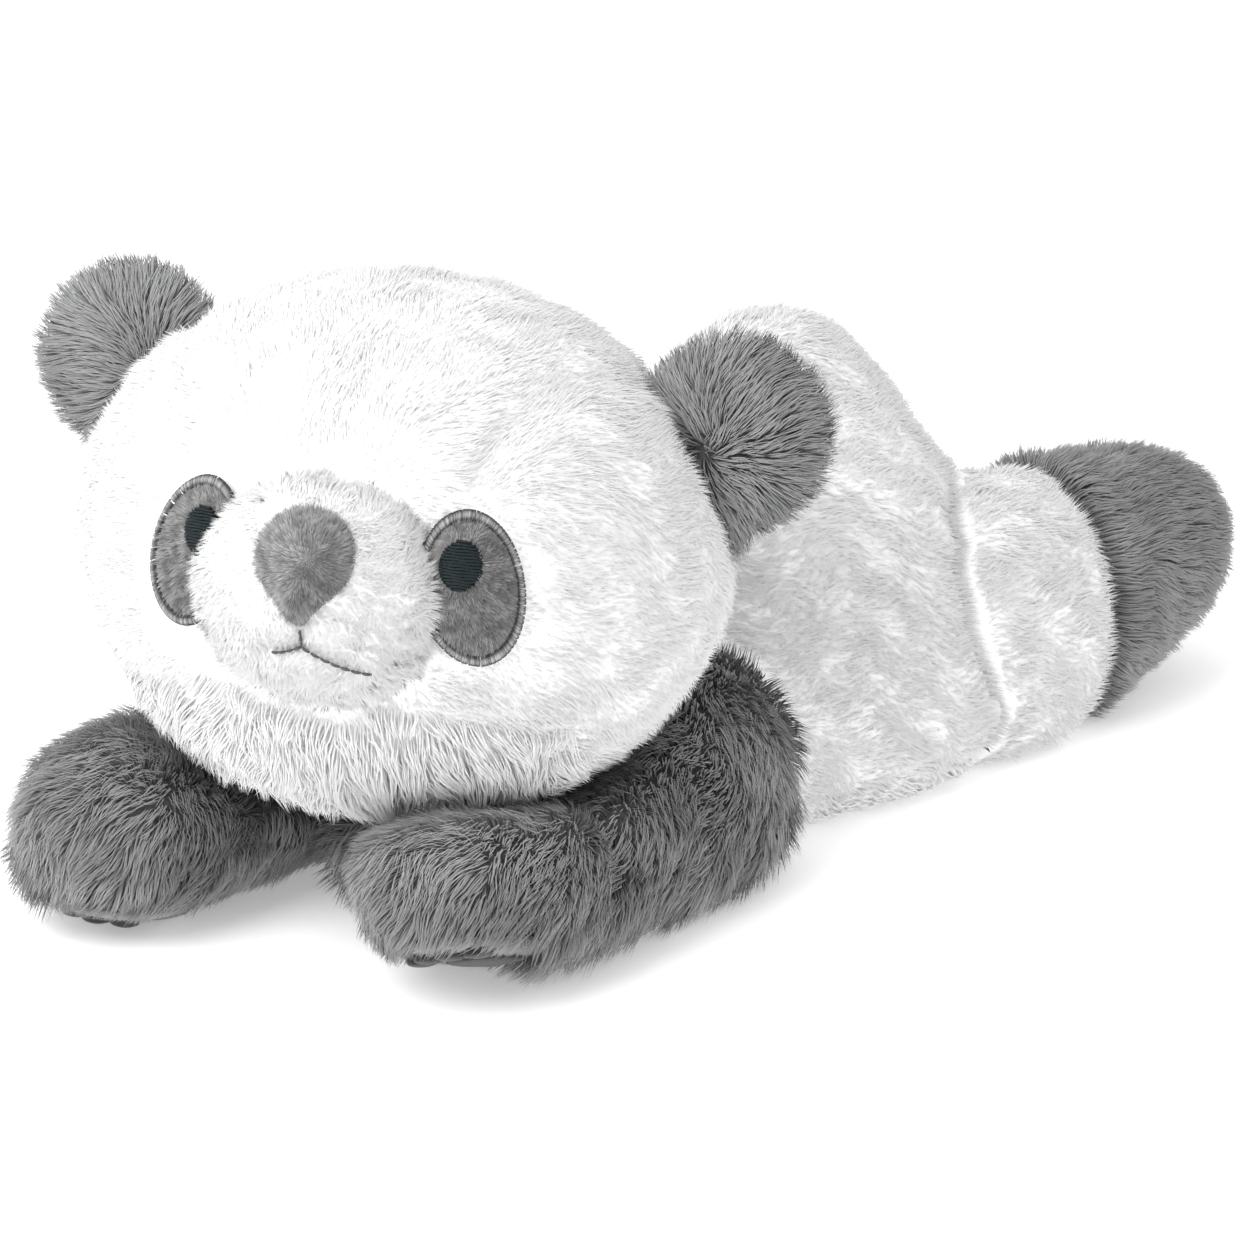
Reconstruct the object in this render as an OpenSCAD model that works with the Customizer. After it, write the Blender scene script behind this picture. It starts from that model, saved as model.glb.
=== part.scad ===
// Plush panda that lies on its belly with its chin over its front paws.
// Millimetres. The toy faces -Y, +X is its own left, +Z is up and it lies on z = 0.
// Every soft form is the mean surface of its pile, so loose hair tips stand a little proud of it.

/* [Head] */
// Width across the cheeks
head_w = 226; // [216:1:232]
// Depth from brow to the back of the head
head_d = 184; // [176:1:188]
// Height from chin to crown
head_h = 182; // [172:1:184]
// Turn of the resting head to the toy's own left, in degrees
head_yaw = 23; // [18:1:26]
// Lift of the resting face, in degrees
head_pitch = 14; // [10:1:16]
// Sideways lean of the resting head, in degrees
head_roll = 3; // [0:1:4]

/* [Face] */
// Width of the muzzle dome
muzzle_w = 88; // [84:1:92]
// Width of the nose
nose_w = 34; // [30:1:38]
// Distance from the middle of the face to each eye patch
eye_out = 44.5; // [43:0.5:47]
// Height of an eye patch
patch_h = 45; // [42:1:48]
// Height of an embroidered pupil
pupil_h = 15; // [12:1:16]

/* [Ears] */
// Width of an ear across its widest part
ear_w = 68; // [60:1:72]
// Fold of an ear each way, in degrees
ear_fold = 20; // [10:1:20]

/* [Torso] */
// Width across the hips
hip_w = 206; // [200:1:210]
// Height of the rump
rump_h = 166; // [160:1:170]
// Thickness of the furry cover: backing cloth and pile
cover = 8; // [7:0.5:9]

/* [Arms] */
// Radius of a shoulder
shoulder_r = 38; // [36:0.5:39]
// Width of a front paw
paw_w = 76; // [70:1:80]
// Outward swing of an arm, in degrees
arm_out = 28; // [15:1:28]
// Inward swing of an arm, in degrees
arm_in = 6; // [2:1:6]

/* [Legs] */
// Radius of a hip
hip_r = 49; // [46:0.5:50]
// Width of a hind foot
foot_w = 72; // [66:1:76]
// Outward swing of a leg, in degrees
leg_out = 20; // [10:1:20]
// Inward swing of a leg, in degrees
leg_in = 8; // [2:1:8]

/* [Tail] */
// Radius of the tail's root
tail_r = 13; // [11:0.5:14]
// Wag of the tail each way, in degrees
tail_wag = 25; // [10:1:25]

/* [Hidden] */

LEFT = 1;
RIGHT = -1;
gap = 1.2;          // air between two bodies that move against each other
snug = 0.6;         // air between a cover and the stuffing inside it
far = 600;          // longer than anything in the toy
coarse = 12;        // facets round small forms
medium = 18;        // facets round limbs
fine = 22;          // facets round the head and torso

white = [0.95, 0.94, 0.92];
grey = [0.50, 0.49, 0.48];
sole_grey = [0.66, 0.65, 0.64];
dark = [0.16, 0.16, 0.17];
fibre = [0.90, 0.90, 0.88];

// Head: an egg whose middle hangs over the shoulders
head_at = [0.5, -141, 133];
head_r = [head_w, head_d, head_h] / 2;
ear_line_y = 12;    // the head's front and back covers meet in this plane, which holds the ears

// Neck: a ball of stuffing that the head turns and nods on
neck_at = [0, -126, 121];
neck_r = 32;
turn_range = [-40, 6];
nod_range = [-6, 14];
nod_axis = [cos(head_yaw), sin(head_yaw), 0];
stub_r = 20;

// Muzzle and nose, in the head's own axes
muzzle_at = [-2, -76, -8.5];
muzzle_r = [muzzle_w / 2, 36, 38.5];
muzzle_wall = 5;
nose_at = [-1.5, -104, -1];
nose_r = [nose_w / 2, 14, 20];
nose_wall = 3;
eye_shift = 1;    // both eyes sit this far to the toy's left of the middle
patch_z = -3;
patch_r = [14.5, patch_h / 2];
patch_tilt = 12;
patch_thick = 2;
border_r = 1.7;
pupil_out = 41;
pupil_z = 3.8;
pupil_r = [6.4, pupil_h / 2];

// Ears, about a fold line just under the head's surface
ear_base = [87, ear_line_y, 32];
ear_lean = 48;      // the ear points this far from straight up
ear_base_r = 10;
ear_base_half = 18;
ear_mid = 24;       // from the fold line to the middle of the lobe
ear_r = [ear_w / 2, 13, 33];

// Torso: a hull of five eggs with a flat belly
chest_at = [0, -25, 44];
chest_r = [80, 70, 47];
bib_at = [-6, -84, 25];      // the chest reaches forward under the chin
bib_r = [60, 78, 27];
belly_at = [0, 62, 26];
belly_r = [hip_w / 2, 100, 46];
loin_at = [0, 70, 66];
loin_r = [82, 74, 72];
rump_at = [0, 66, 104];
rump_r = [42, 62, rump_h - 104];
chest_line_y = -60; // the grey chest panel lies in front of this plane
belly_line_z = 14;  // the belly panel lies below this plane
pellets_at = [0, 18, 27];
pellets_r = [42, 46, 17];

// Arms, each about a vertical line through its shoulder
function shoulder(side) = [side * 59, -62, 38];
function paw(side) = side == LEFT ? [58, -180, 40] : [-69, -205, 36];
function paw_tilt(side) = side == LEFT ? 20 : 12;
function paw_roll(side) = side == LEFT ? -22 : 0;
function palm(side) = paw(side) + (side == LEFT ? [9.5, -9.2, -23.5] : [0, -6, -30]);
paw_r = [paw_w / 2, 41, 33];
arm_seam_z = 32;    // the top and under covers of an arm meet in this plane

// Legs, each about a vertical line through its hip
function hip(side) = [side * 60, 110, 34];
function foot(side) = [side * 76, 203, 52];
hip_form_r = [hip_r, hip_r, 68];
foot_r = [foot_w / 2, 42, 36];
leg_angle = atan2(76 - 60, 203 - 110);
ankle_cut = -55;    // the white leg ends this far along the leg from the middle of the foot
sole_cut = 36;      // the flat end of the foot, from the middle of the foot

// Tail, about a vertical line through its root
tail_at = [0, 124, 106];
tail_lobe_at = [0, 133, 108];
tail_lobe_r = [15, 14, 16];

// Pads: flat pieces sewn on each sole
patch_plate = 1.6;
pad_plate = 1.4;

// ---------------------------------------------------------------- helpers

module egg(at, r, facets = medium)
    translate(at) hull() scale(r) sphere(1, $fn = facets);

module about(at, angle, axis = [0, 0, 1])
    translate(at) rotate(angle, axis) translate(-at) children();

module above(z)
    intersection() {
        children();
        translate([-far, -far, z]) cube([2 * far, 2 * far, far]);
    }

module in_head()
    translate(head_at) rotate([0, 0, head_yaw]) rotate([-head_pitch, 0, 0])
        rotate([0, head_roll, 0]) children();

// Turns what the head holds to one turn and nod of the neck
module head_pose(turn, nod)
    about(neck_at, turn) about(neck_at, nod, nod_axis) children();

function grown(r, d) = [for (v = r) v + d];
function side_name(side, part) = str(side == LEFT ? "left_" : "right_", part);

// A closed plate over rings of points: the first half of the rings is its top, the rest its underside
module ring_skin(rings, segments) {
    last = len(rings) - 1;
    points = [for (ring = rings) each ring];
    walls = [for (i = [0:last - 1], j = [0:segments - 1])
        let (k = (j + 1) % segments, a = i * segments)
        [a + j, a + k, a + segments + k, a + segments + j]];
    caps = [[for (j = [segments - 1:-1:0]) j], [for (j = [0:segments - 1]) last * segments + j]];
    polyhedron(points, concat(walls, caps), convexity = 4);
}

// ---------------------------------------------------------------- head forms

module head_egg(d = 0)
    in_head() egg([0, 0, 0], grown(head_r, d), fine);

// Everything that the head passes through as it turns and nods
module head_sweep(d)
    hull()
        for (turn = [turn_range[0], -17, turn_range[1]], nod = nod_range)
            head_pose(turn, nod) head_egg(d);

module neck_stub(d)
    hull() {
        translate(neck_at + [0, 12, -9]) sphere(stub_r + d, $fn = medium);
        translate([0, -42, 64]) sphere(stub_r + 8 + d, $fn = medium);
    }

// The room that the head leaves round the neck stub
module neck_opening(d)
    hull()
        for (turn = [turn_range[0], -17, turn_range[1]], nod = nod_range)
            about(neck_at, -nod, nod_axis) about(neck_at, -turn) neck_stub(d);

module ear_place(side)
    in_head() mirror([side == LEFT ? 0 : 1, 0, 0]) translate(ear_base)
        rotate([0, ear_lean, 0]) children();

module ear_form(d = 0, fold = 0)
    rotate([fold, 0, 0]) hull() {
        for (end = [-1, 1])
            translate([end * ear_base_half, 0, 0]) sphere(ear_base_r + d, $fn = coarse);
        egg([0, 0, ear_mid], grown(ear_r, d), medium);
    }

// Everything that an ear passes through, and the room outside it
module ear_sweep(side, d)
    ear_place(side) hull() {
        for (fold = [-ear_fold, 0, ear_fold]) ear_form(d, fold);
        for (end = [-1, 1])
            translate([end * (ear_r[0] + d), 0, 2 * ear_r[2]])
                sphere(3 * ear_base_r, $fn = coarse);
    }

module head_form(d = 0)
    difference() {
        head_egg(d);
        neck_opening(gap - d);
        translate(neck_at) sphere(neck_r + gap - d, $fn = fine);
        for (side = [LEFT, RIGHT]) ear_sweep(side, gap - d);
    }

module head_shell()
    difference() {
        head_form();
        head_form(-cover);
    }

// What the face cover may fill: in front of the ears, and clear of the lining of the neck
module face_zone()
    difference() {
        in_head() translate([-far, ear_line_y - 2 * far, -far]) cube(2 * far);
        translate(neck_at) sphere(neck_r + gap + cover + 4, $fn = fine);
        neck_opening(gap + cover + 4);
    }

module muzzle_egg(d = 0)
    in_head() egg(muzzle_at, grown(muzzle_r, d), medium);

module nose_egg(d = 0)
    in_head() egg(nose_at, grown(nose_r, d), coarse + 4);

// A point on the front of the head's egg, lift above it, in the head's own axes
function on_face(x, z, lift) =
    let (e = grown(head_r, lift))
    [x, -e[1] * sqrt(1 - pow(x / e[0], 2) - pow(z / e[2], 2)), z];

// A point on the oval of an eye patch: share is 0 at its middle and 1 at its edge
function patch_point(side, angle, share, lift) =
    let (u = patch_r[0] * share * cos(angle), w = patch_r[1] * share * sin(angle))
    on_face(eye_shift + side * (eye_out + u * cos(patch_tilt) - w * sin(patch_tilt)),
            patch_z + u * sin(patch_tilt) + w * cos(patch_tilt), lift);

module face_plate(side, shares, base, thick, segments)
    in_head() ring_skin(concat(
        [for (share = shares) [for (j = [0:segments - 1])
            patch_point(side, -side * 360 * j / segments, share, base + thick)]],
        [for (i = [len(shares) - 1:-1:0]) [for (j = [0:segments - 1])
            patch_point(side, -side * 360 * j / segments, shares[i], base)]]), segments);

module thread(points, r)
    in_head() for (i = [0:len(points) - 2])
        hull() for (p = [points[i], points[i + 1]]) translate(p) sphere(r, $fn = 6);

// ---------------------------------------------------------------- limb forms

module arm_form(side, d = 0)
    difference() {
        hull() above(-d) {
            egg(shoulder(side), grown([shoulder_r, shoulder_r, 41], d));
            egg(paw(side), grown(paw_r, d));
        }
        hull() for (swing = [-arm_in, arm_out / 2, arm_out])
            about(shoulder(side), -side * swing) head_sweep(gap - d);
        palm_place(side) translate([-far, -far, d]) cube(2 * far);
    }

module arm_sweep(side, d)
    hull() for (swing = [-arm_in, arm_out / 2, arm_out])
        about(shoulder(side), side * swing) above(-d) {
            egg(shoulder(side), grown([shoulder_r, shoulder_r, 41], d));
            egg(paw(side), grown(paw_r, d));
        }

// Axes of the flat palm: z points out of the paw, y to its fingers
module palm_place(side)
    translate(palm(side)) rotate([180 - paw_tilt(side), paw_roll(side), 0]) children();

module leg_hull(side, d)
    hull() above(-d) {
        egg(hip(side), grown(hip_form_r, d));
        egg(foot(side), grown(foot_r, d));
    }

module leg_sweep(side, d)
    hull() for (swing = [-leg_in, leg_out / 2, leg_out])
        about(hip(side), -side * swing) leg_hull(side, d);

// Axes of a foot: z points along the leg out of the sole
module foot_place(side)
    translate(foot(side)) rotate([0, 0, -side * leg_angle]) rotate([-90, 0, 0]) children();

module beyond(side, z)
    foot_place(side) translate([-far, -far, z]) cube(2 * far);

module leg_form(side, d = 0)
    difference() {
        leg_hull(side, d);
        beyond(side, sole_cut + d);
    }

module tail_form(d = 0, wag = 0)
    about(tail_at, wag) hull() {
        translate(tail_at) sphere(tail_r + d, $fn = coarse + 4);
        egg(tail_lobe_at, grown(tail_lobe_r, d), coarse + 4);
    }

module torso_form(d = 0)
    difference() {
        union() {
            difference() {
                hull() above(-d) {
                    egg(chest_at, grown(chest_r, d), fine);
                    egg(bib_at, grown(bib_r, d), medium);
                    egg(belly_at, grown(belly_r, d), fine);
                    egg(loin_at, grown(loin_r, d), fine);
                    egg(rump_at, grown(rump_r, d), fine);
                }
                head_sweep(gap - d);
            }
            neck_stub(d);
        }
        translate(neck_at) sphere(neck_r + gap - d, $fn = fine);
        for (side = [LEFT, RIGHT]) {
            arm_sweep(side, gap - d);
            leg_sweep(side, gap - d);
        }
        hull() for (wag = [-tail_wag, 0, tail_wag]) tail_form(gap - d, wag);
    }

module torso_shell()
    difference() {
        torso_form();
        torso_form(-cover);
    }

module chest_zone()
    translate([-far, chest_line_y - 2 * far, -far]) cube(2 * far);

module belly_zone()
    translate([-far, chest_line_y, belly_line_z - 2 * far]) cube(2 * far);

// ---------------------------------------------------------------- torso pieces

module back_cover(side)
    color(white) difference() {
        torso_shell();
        chest_zone();
        belly_zone();
        translate([side == LEFT ? -2 * far : 0, -far, -far]) cube(2 * far);
    }

module belly_cover()
    color(white) intersection() {
        torso_shell();
        belly_zone();
    }

module chest_panel()
    color(grey) intersection() {
        torso_shell();
        chest_zone();
    }

// The bag of pellets lies in a hollow that is open to the belly
module torso_stuffing()
    color(fibre) difference() {
        torso_form(-cover - snug);
        hull() for (drop = [0, 20])
            egg(pellets_at - [0, 0, drop], grown(pellets_r, snug));
    }

module pellet_bag()
    color(sole_grey) egg(pellets_at, pellets_r);

module neck_stuffing()
    color(fibre) translate(neck_at) sphere(neck_r, $fn = fine);

// ---------------------------------------------------------------- head pieces

module face_cover()
    color(white) intersection() {
        head_shell();
        face_zone();
    }

module head_back_cover()
    color(white) difference() {
        head_shell();
        face_zone();
    }

module head_stuffing()
    color(fibre) head_form(-cover - snug);

module muzzle_cover()
    color(white) difference() {
        muzzle_egg();
        muzzle_egg(-muzzle_wall);
        head_egg(snug);
    }

module muzzle_stuffing()
    color(fibre) difference() {
        muzzle_egg(-muzzle_wall - snug);
        head_egg(snug);
    }

module nose_cover()
    color(grey) difference() {
        nose_egg();
        nose_egg(-nose_wall);
        muzzle_egg(snug);
    }

module nose_stuffing()
    color(fibre) difference() {
        nose_egg(-nose_wall - snug);
        muzzle_egg(snug);
    }

// A point on the front of the muzzle's egg, in the head's own axes
function on_muzzle(x, z) =
    [x, muzzle_at[1] - muzzle_r[1] * sqrt(1 - pow((x - muzzle_at[0]) / muzzle_r[0], 2)
        - pow((z - muzzle_at[2]) / muzzle_r[2], 2)) - 1.7, z];

// The line under the nose, and the two short smiling strokes
module mouth_embroidery()
    color(dark) {
        thread([for (z = [-21.5:-2.5:-26.5]) on_muzzle(0, z)], 1.1);
        for (side = [LEFT, RIGHT])
            thread([for (x = [0:4:16]) on_muzzle(side * x, -26.5 - 5 * sin(x * 5.6))], 1.1);
    }

module ear_half(side, front)
    color(grey) ear_place(side) intersection() {
        ear_form();
        translate([-far, front ? -2 * far : 0, -far]) cube(2 * far);
    }

module eye_patch(side)
    color(grey) difference() {
        face_plate(side, [0.02, 0.5, 0.88], 0.3, patch_thick, medium);
        muzzle_egg(snug);
    }

module eye_border(side)
    color(dark) difference() {
        thread([for (i = [0:20]) patch_point(side, 18 * i, 1, border_r + 0.3)], border_r);
        muzzle_egg(snug);
    }

module eye_pupil(side)
    color(dark) difference() {
        in_head() let (steps = 20, lift = patch_thick + 0.6) ring_skin([for (ring = [[0.05, 1], [0.95, 1], [1, 0], [0.05, 0]])
            [for (j = [0:steps - 1]) let (angle = -360 * j / steps)
                on_face(eye_shift + side * pupil_out + ring[0] * pupil_r[0] * cos(angle),
                        pupil_z + ring[0] * pupil_r[1] * sin(angle), lift + ring[1])]],
            steps);
        muzzle_egg(snug);
    }

// ---------------------------------------------------------------- limb pieces

module arm_shell(side)
    difference() {
        arm_form(side);
        arm_form(side, -cover);
    }

module arm_top_cover(side)
    color(grey) above(arm_seam_z) arm_shell(side);

module arm_under_cover(side)
    color(grey) difference() {
        arm_shell(side);
        translate([-far, -far, arm_seam_z]) cube([2 * far, 2 * far, far]);
    }

module arm_stuffing(side)
    color(fibre) arm_form(side, -cover - snug);

module leg_cover(side)
    color(white) difference() {
        leg_form(side);
        leg_form(side, -cover);
        beyond(side, ankle_cut);
    }

module foot_cover(side)
    color(grey) intersection() {
        difference() {
            leg_form(side);
            leg_form(side, -cover);
        }
        beyond(side, ankle_cut);
    }

module leg_stuffing(side)
    color(fibre) leg_form(side, -cover - snug);

module oval(w, l)
    hull() for (end = [-1, 1]) translate([0, end * (l - w) / 2]) circle(w / 2, $fn = medium);

// The short cloth of a sole, its one large pad and its row of four small ones
module patch_on_sole(w, l)
    color(sole_grey) linear_extrude(patch_plate) oval(w, l);

module pad_on_sole(w, l)
    color(dark) translate([0, -l / 5, patch_plate]) linear_extrude(pad_plate) oval(w, l);

module toes_on_sole(r, reach)
    color(dark) for (angle = [-48, -16, 16, 48])
        rotate([0, 0, angle]) translate([0, reach, patch_plate])
            linear_extrude(pad_plate) circle(r, $fn = coarse + 4);

module tail_cover()
    color(white) difference() {
        tail_form();
        tail_form(-5);
    }

module tail_stuffing()
    color(fibre) tail_form(-5 - snug);

back_cover(LEFT);  // left_back_cover
back_cover(RIGHT);  // right_back_cover
belly_cover();
chest_panel();
torso_stuffing();
pellet_bag();
neck_stuffing();
face_cover();
head_back_cover();
head_stuffing();
muzzle_cover();
muzzle_stuffing();
nose_cover();
nose_stuffing();
mouth_embroidery();
tail_cover();
tail_stuffing();
for (side = [LEFT, RIGHT]) {
    ear_half(side, true);
    ear_half(side, false);
    eye_patch(side);
    eye_border(side);
    eye_pupil(side);
    arm_top_cover(side);
    arm_under_cover(side);
    arm_stuffing(side);
    palm_place(side) patch_on_sole(44, 50);
    palm_place(side) pad_on_sole(22, 26);
    palm_place(side) toes_on_sole(4.2, 17);
    leg_cover(side);
    leg_stuffing(side);
    foot_cover(side);
    foot_place(side) translate([0, 0, sole_cut]) patch_on_sole(40, 46);
    foot_place(side) translate([0, 0, sole_cut]) pad_on_sole(22, 24);
    foot_place(side) translate([0, 0, sole_cut]) toes_on_sole(4.2, 16);
}
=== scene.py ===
"""Looks of the plush panda: stuffed cloth skins, pile made of tapered strands, and embroidery.

Lengths are in millimetres in the row frame until a mesh is made, which is in metres.
"""

import math

import bmesh
import bpy
import numpy as np
from mathutils import Matrix
from mathutils.bvhtree import BVHTree
from mathutils.kdtree import KDTree


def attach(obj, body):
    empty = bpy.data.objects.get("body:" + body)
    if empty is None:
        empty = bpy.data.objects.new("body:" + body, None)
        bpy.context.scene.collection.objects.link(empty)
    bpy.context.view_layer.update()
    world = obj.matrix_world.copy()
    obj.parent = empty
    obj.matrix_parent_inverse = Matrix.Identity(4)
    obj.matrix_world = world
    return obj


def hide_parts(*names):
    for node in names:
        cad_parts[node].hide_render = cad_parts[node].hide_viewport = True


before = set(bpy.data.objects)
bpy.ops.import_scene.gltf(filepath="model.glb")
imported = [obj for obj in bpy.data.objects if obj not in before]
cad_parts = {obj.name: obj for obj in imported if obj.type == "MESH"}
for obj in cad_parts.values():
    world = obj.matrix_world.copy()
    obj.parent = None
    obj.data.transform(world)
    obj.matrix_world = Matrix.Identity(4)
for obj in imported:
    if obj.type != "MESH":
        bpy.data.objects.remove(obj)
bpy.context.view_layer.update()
rng = np.random.default_rng(20)

MM = 0.001
UP = np.array([0.0, 0.0, 1.0])
SIDES = {"left": 1, "right": -1}
CHUNK = 19000  # most strands in one piece
FLOOR_CLEAR = 0.4  # hair stays this far above the floor
WELD = 1e-6  # points closer than this become one, in metres
FACE_RAY_Y = -220  # rays to the face start here, in the head's axes
THIN_OUT = 1.0


# ---------------------------------------------------------------- small helpers


def unit(v):
    return v / np.maximum(np.linalg.norm(v, axis=-1, keepdims=True), 1e-9)


def ramp(x, low, high):
    """0 below low, 1 above high, and smooth between them"""
    t = np.clip((x - low) / (high - low), 0, 1)
    return t * t * (3 - 2 * t)


def turn(axis, degrees):
    return np.array(Matrix.Rotation(math.radians(degrees), 3, axis))


def waves(points, size, seed, count=8):
    """Smooth seeded values from about -1 to 1 whose lumps are about size across"""
    own = np.random.default_rng(seed)
    k = unit(own.normal(size=(count, 3))) * (math.pi / size) * own.uniform(0.6, 1.5, (count, 1))
    total = np.sin(points @ k.T + own.uniform(0, 2 * math.pi, count)).sum(1)
    return np.clip(total / math.sqrt(count), -1, 1)


class Place:
    """The axes of one part of the toy, in the row frame"""

    def __init__(self, at, axes):
        self.at, self.axes = np.array(at, float), np.array(axes, float)

    def inside(self, points):
        return (points - self.at) @ self.axes

    def outside(self, points):
        return np.asarray(points, float) @ self.axes.T + self.at

    def way(self, direction):
        return np.asarray(direction, float) @ self.axes.T


# ---------------------------------------------------------------- the toy's layout

HEAD = Place((0.5, -141, 133), turn("Z", 23) @ turn("X", -14) @ turn("Y", 3))
EAR_LINE_Y = 12
HEAD_R = np.array([113, 92, 91.0])
MUZZLE_AT, MUZZLE_R = np.array([-2, -76, -8.5]), np.array([44, 36, 38.5])
NOSE_AT = np.array([-1.5, -104, -1.0])
EYE_SHIFT, EYE_OUT, EYE_Z, EYE_R, EYE_TILT = 1, 44.5, -3, (14.5, 22.5), 12
PUPIL_OUT, PUPIL_Z, PUPIL_R = 41, 3.8, (6.4, 7.5)
EAR_BASE, EAR_LEAN, EAR_MID = (87, 12, 32), 48, 24
SHOULDER, PAW = {}, {"left": (58, -180, 40), "right": (-69, -205, 36)}
PAW_TILT, PAW_ROLL = {"left": 20, "right": 12}, {"left": -22, "right": 0}
PALM_OFF = {"left": (9.5, -9.2, -23.5), "right": (0, -6, -30)}
FOOT, EAR, LEG, PALM, SOLE = {}, {}, {}, {}, {}
ANKLE_CUT, SOLE_CUT, LEG_ANGLE = -55, 36, math.degrees(math.atan2(16, 93))
for side, s in SIDES.items():
    SHOULDER[side] = (s * 59, -62, 38)
    FOOT[side] = (s * 76, 203, 52)
    flip = np.diag([s, 1, 1])
    EAR[side] = Place(
        HEAD.outside(flip @ np.array(EAR_BASE, float)),
        HEAD.axes @ flip @ turn("Y", EAR_LEAN),
    )
    LEG[side] = Place(FOOT[side], turn("Z", -s * LEG_ANGLE) @ turn("X", -90))
    SOLE[side] = Place(LEG[side].outside([0, 0, SOLE_CUT]), LEG[side].axes)
    PALM[side] = Place(
        np.array(PAW[side]) + PALM_OFF[side],
        turn("Y", PAW_ROLL[side]) @ turn("X", 180 - PAW_TILT[side]),
    )
CHEST_LINE_Y, BELLY_LINE_Z, ARM_SEAM_Z = -60, 14, 32


# ---------------------------------------------------------------- materials


def graph(name, roughness, sheen=0.0, specular=0.3):
    """A material's node tree and its Principled node, with the even values set on it"""
    material = bpy.data.materials.new(name)
    material.use_nodes = True
    shader = material.node_tree.nodes["Principled BSDF"]
    shader.inputs["Roughness"].default_value = roughness
    shader.inputs["Specular IOR Level"].default_value = specular
    shader.inputs["Sheen Weight"].default_value = sheen
    shader.inputs["Sheen Roughness"].default_value = 0.5
    return material, material.node_tree, shader


def colour_ramp(tree, stops):
    node = tree.nodes.new("ShaderNodeValToRGB")
    elements = node.color_ramp.elements
    while len(elements) < len(stops):
        elements.new(0.5)
    for element, (position, colour) in zip(elements, stops):
        element.position = position
        element.color = (*colour, 1) if len(colour) == 3 else colour
    return node


def grey_level(value, warm=0.0):
    return (value * (1 + warm), value, value * (1 - warm))


def greys(*stops):
    """Colour ramp stops from (position, grey level, how warm it is)"""
    return [(position, grey_level(*level)) for position, *level in stops]


def pile_material(name, along, tones, roughness=0.75, sheen=0.0):
    """Strands: colour from root to tip, times a tone that is one value per strand"""
    material, tree, shader = graph(name, roughness, sheen, 0.2)
    uv = tree.nodes.new("ShaderNodeUVMap")
    uv.uv_map = "OFBake"
    split = tree.nodes.new("ShaderNodeSeparateXYZ")
    root_to_tip, tone = colour_ramp(tree, along), colour_ramp(tree, tones)
    mix = tree.nodes.new("ShaderNodeMix")
    mix.data_type, mix.blend_type = "RGBA", "MULTIPLY"
    mix.inputs["Factor"].default_value = 1.0
    link = tree.links.new
    link(uv.outputs["UV"], split.inputs["Vector"])
    link(split.outputs["Y"], root_to_tip.inputs["Fac"])
    link(split.outputs["X"], tone.inputs["Fac"])
    link(root_to_tip.outputs["Color"], mix.inputs["A"])
    link(tone.outputs["Color"], mix.inputs["B"])
    link(mix.outputs["Result"], shader.inputs["Base Color"])
    return material


def cloth_material(name, stops, scale, bump, roughness=0.85, sheen=0.0, stretch=(1, 1, 1)):
    """Backing cloth, velour or thread: noise in the colour and in a fine bump"""
    material, tree, shader = graph(name, roughness, sheen, 0.2)
    place = tree.nodes.new("ShaderNodeTexCoord")
    mapping = tree.nodes.new("ShaderNodeMapping")
    mapping.inputs["Scale"].default_value = stretch
    noise = tree.nodes.new("ShaderNodeTexNoise")
    noise.inputs["Scale"].default_value = scale
    noise.inputs["Detail"].default_value = 6
    noise.inputs["Roughness"].default_value = 0.65
    colours = colour_ramp(tree, stops)
    raised = tree.nodes.new("ShaderNodeBump")
    raised.inputs["Strength"].default_value = bump
    raised.inputs["Distance"].default_value = 0.0008
    link = tree.links.new
    link(place.outputs["Object"], mapping.inputs["Vector"])
    link(mapping.outputs["Vector"], noise.inputs["Vector"])
    link(noise.outputs["Fac"], colours.inputs["Fac"])
    link(noise.outputs["Fac"], raised.inputs["Height"])
    link(colours.outputs["Color"], shader.inputs["Base Color"])
    link(raised.outputs["Normal"], shader.inputs["Normal"])
    return material


WHITE_PILE = pile_material(
    "white_pile",
    greys((0.0, 0.93, 0.004), (0.35, 0.95, 0.002), (1.0, 0.965)),
    greys((0.0, 0.92, 0.002), (0.5, 0.95), (1.0, 0.97)),
)
GREY_PILE = pile_material(
    "grey_pile",
    greys((0.0, 0.14), (0.4, 0.24, -0.005), (1.0, 0.42, -0.005)),
    greys((0.0, 0.7), (0.5, 0.93), (1.0, 1.2)),
    sheen=0.15,
)
CURLY_PILE = pile_material(
    "curly_white_pile",
    greys((0.0, 0.88, 0.004), (0.4, 0.94, 0.002), (1.0, 0.96)),
    greys((0.0, 0.85), (0.12, 0.95), (0.5, 0.96), (1.0, 0.98)),
)
SHORT_GREY_PILE = pile_material(
    "short_grey_pile",
    greys((0.0, 0.12), (0.5, 0.25), (1.0, 0.42)),
    greys((0.0, 0.35), (0.5, 0.9), (1.0, 1.5)),
    sheen=0.3,
)
SOLE_PILE = pile_material(
    "sole_pile",
    greys((0.0, 0.3), (0.5, 0.42, 0.01), (1.0, 0.52, 0.02)),
    greys((0.0, 0.7), (0.5, 0.95), (1.0, 1.1)),
    sheen=0.2,
)
# Along each stitch the colour runs dark, light, dark: a painted highlight on its crest and painted
# shade at its ends where it goes into the cloth; the tones vary at random
BORDER_STITCH = pile_material(
    "border_stitch",
    greys((0.0, 0.04), (0.14, 0.08), (0.3, 0.24), (0.5, 0.32),
     (0.7, 0.24), (0.86, 0.08), (1.0, 0.04)),
    greys((0.0, 0.6), (0.6, 0.95), (1.0, 1.5)),
    roughness=0.45,
)
WHITE_CLOTH = cloth_material(
    "white_backing", greys((0.3, 0.93, 0.003), (0.7, 0.96, 0.001)), 260, 0.2
)
GREY_CLOTH = cloth_material(
    "grey_backing", greys((0.3, 0.06), (0.7, 0.13, 0.01)), 260, 0.5
)
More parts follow.
